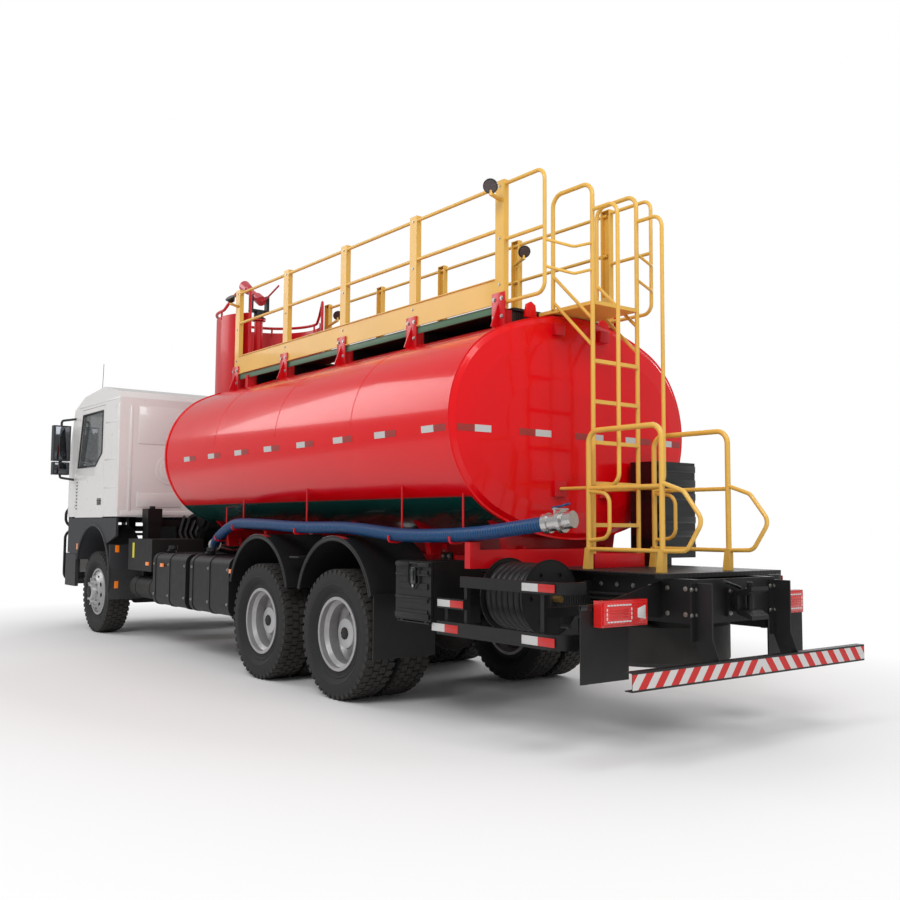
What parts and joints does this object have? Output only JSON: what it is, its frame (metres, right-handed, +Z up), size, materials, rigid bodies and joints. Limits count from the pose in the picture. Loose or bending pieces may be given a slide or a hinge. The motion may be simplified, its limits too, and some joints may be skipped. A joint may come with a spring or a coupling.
{
  "type": "three-axle tanker fire truck",
  "caption": "Cab-over tanker fire truck with an oval water tank, railed roof walkway, water cannon in a round basket, rear ladder and deck, suction hose and hose reel.",
  "frame": {"origin": "on the ground under the middle of the truck's length and width", "axes": "+X forwards, +Y to the truck's left, +Z up"},
  "size_m": [10.7989, 3.02, 4.4822],
  "materials": {
    "tyre_rubber": "matt black rubber",
    "rim_silver": "satin silver paint",
    "chassis_black": "satin black paint",
    "cab_white": "gloss white paint",
    "cab_grey": "grained dark grey plastic",
    "clear_glass": "clear tinted glass",
    "lamp_clear": "clear lamp lens",
    "lamp_red": "red and amber lamp lens",
    "tank_red": "gloss red paint over a dark green belly",
    "frame_red": "red painted steel",
    "rail_yellow": "gloss yellow paint",
    "deck_black": "black tread plate",
    "case_black": "glossy moulded plastic",
    "hose_blue": "ribbed rubber",
    "stainless": "brushed stainless steel",
    "cannon_red": "pinkish red paint",
    "seat_cloth": "woven cloth and dark plastic",
    "bumper_stripes": "red and white diagonal stripes"
  },
  "bodies": {
    "chassis": {"air_reservoirs": "chassis_black", "cab_interior": "seat_cloth", "cab_shell": "cab_white", "cannon_basket": "frame_red", "chassis_frame": "chassis_black", "deck_rails": "rail_yellow", "drive_line": "chassis_black", "engine": "chassis_black", "extinguisher_case": "case_black", "front_axle": "chassis_black", "front_bumper": "cab_white", "front_mudguards": "cab_grey", "fuel_tanks": "chassis_black", "grille": "cab_grey", "guard_bars": "chassis_black", "head_lamps": "lamp_clear", "hose_couplings": "stainless", "intake_gear": "chassis_black", "ladder": "rail_yellow", "leaf_springs": "chassis_black", "mirrors": "cab_grey", "railings": "rail_yellow", "rear_deck": "deck_black", "rear_mudguards": "cab_grey", "side_guards": "chassis_black", "silencer": "chassis_black", "spare_wheel": "chassis_black", "suction_hose": "hose_blue", "tail_lamps": "lamp_red", "tank": "tank_red", "tank_saddles": "frame_red", "toolbox": "chassis_black", "tow_coupling": "chassis_black", "underride_bumper": "bumper_stripes", "walkway": "deck_black", "windscreen": "clear_glass"},
    "left_knuckle": {"left_knuckle": "chassis_black"},
    "right_knuckle": {"right_knuckle": "chassis_black"},
    "front_left_wheel": {"front_left_tyre": "tyre_rubber", "front_left_rim": "rim_silver"},
    "front_right_wheel": {"front_right_tyre": "tyre_rubber", "front_right_rim": "rim_silver"},
    "middle_left_wheel": {"middle_left_tyres": "tyre_rubber", "middle_left_rims": "rim_silver"},
    "middle_right_wheel": {"middle_right_tyres": "tyre_rubber", "middle_right_rims": "rim_silver"},
    "rear_left_wheel": {"rear_left_tyres": "tyre_rubber", "rear_left_rims": "rim_silver"},
    "rear_right_wheel": {"rear_right_tyres": "tyre_rubber", "rear_right_rims": "rim_silver"},
    "left_door": {"left_door": "cab_white", "left_door_glass": "clear_glass"},
    "right_door": {"right_door": "cab_white", "right_door_glass": "clear_glass"},
    "toolbox_door": {"toolbox_door": "chassis_black"},
    "case_door": {"case_door": "case_black"},
    "manhole_lid": {"manhole_lid": "tank_red"},
    "hose_reel": {"hose_reel": "chassis_black"},
    "cannon_base": {"cannon_base": "chassis_black"},
    "cannon_barrel": {"cannon_barrel": "cannon_red"}
  },
  "joints": [
    {"name": "left_steer", "type": "hinge", "parent": "chassis", "child": "left_knuckle", "pos_m": [3.94, 0.85, 0.525], "axis": [0, 0, 1], "range_deg": [-35, 35]},
    {"name": "front_left_spin", "type": "hinge", "parent": "left_knuckle", "child": "front_left_wheel", "pos_m": [3.94, 1.02, 0.525], "axis": [0, 1, 0], "continuous": true},
    {"name": "middle_left_spin", "type": "hinge", "parent": "chassis", "child": "middle_left_wheel", "pos_m": [-0.86, 0.9175, 0.525], "axis": [0, 1, 0], "continuous": true},
    {"name": "rear_left_spin", "type": "hinge", "parent": "chassis", "child": "rear_left_wheel", "pos_m": [-2.21, 0.9175, 0.525], "axis": [0, 1, 0], "continuous": true},
    {"name": "left_door_swing", "type": "hinge", "parent": "chassis", "child": "left_door", "pos_m": [4.743, 1.229, 1.87], "axis": [0, 0, -1], "range_deg": [0, 70]},
    {"name": "right_steer", "type": "hinge", "parent": "chassis", "child": "right_knuckle", "pos_m": [3.94, -0.85, 0.525], "axis": [0, 0, 1], "range_deg": [-35, 35]},
    {"name": "front_right_spin", "type": "hinge", "parent": "right_knuckle", "child": "front_right_wheel", "pos_m": [3.94, -1.02, 0.525], "axis": [0, 1, 0], "continuous": true},
    {"name": "middle_right_spin", "type": "hinge", "parent": "chassis", "child": "middle_right_wheel", "pos_m": [-0.86, -0.9175, 0.525], "axis": [0, 1, 0], "continuous": true},
    {"name": "rear_right_spin", "type": "hinge", "parent": "chassis", "child": "rear_right_wheel", "pos_m": [-2.21, -0.9175, 0.525], "axis": [0, 1, 0], "continuous": true},
    {"name": "right_door_swing", "type": "hinge", "parent": "chassis", "child": "right_door", "pos_m": [4.743, -1.229, 1.87], "axis": [0, 0, 1], "range_deg": [0, 70]},
    {"name": "toolbox_door_drop", "type": "hinge", "parent": "chassis", "child": "toolbox_door", "pos_m": [-3.295, 1.203, 0.708], "axis": [-1, 0, 0], "range_deg": [0, 90]},
    {"name": "case_door_swing", "type": "hinge", "parent": "chassis", "child": "case_door", "pos_m": [-4.078, -0.969, 1.545], "axis": [0, 0, 1], "range_deg": [0, 110]},
    {"name": "manhole_lid_lift", "type": "hinge", "parent": "chassis", "child": "manhole_lid", "pos_m": [-0.996, 0, 3.149], "axis": [0, -1, 0], "range_deg": [0, 100]},
    {"name": "hose_reel_spin", "type": "hinge", "parent": "chassis", "child": "hose_reel", "pos_m": [-4.095, 0.8, 0.925], "axis": [1, 0, 0], "continuous": true},
    {"name": "cannon_slew", "type": "hinge", "parent": "chassis", "child": "cannon_base", "pos_m": [1.739, 0, 3.92], "axis": [0, 0, 1], "range_deg": [-110, 110]},
    {"name": "cannon_tilt", "type": "hinge", "parent": "cannon_base", "child": "cannon_barrel", "pos_m": [1.739, 0, 4.18], "axis": [0, -1, 0], "range_deg": [-45, 45]}
  ],
  "couplings": [
    {"joint": "right_steer", "follows": "left_steer", "ratio": 1}
  ]
}
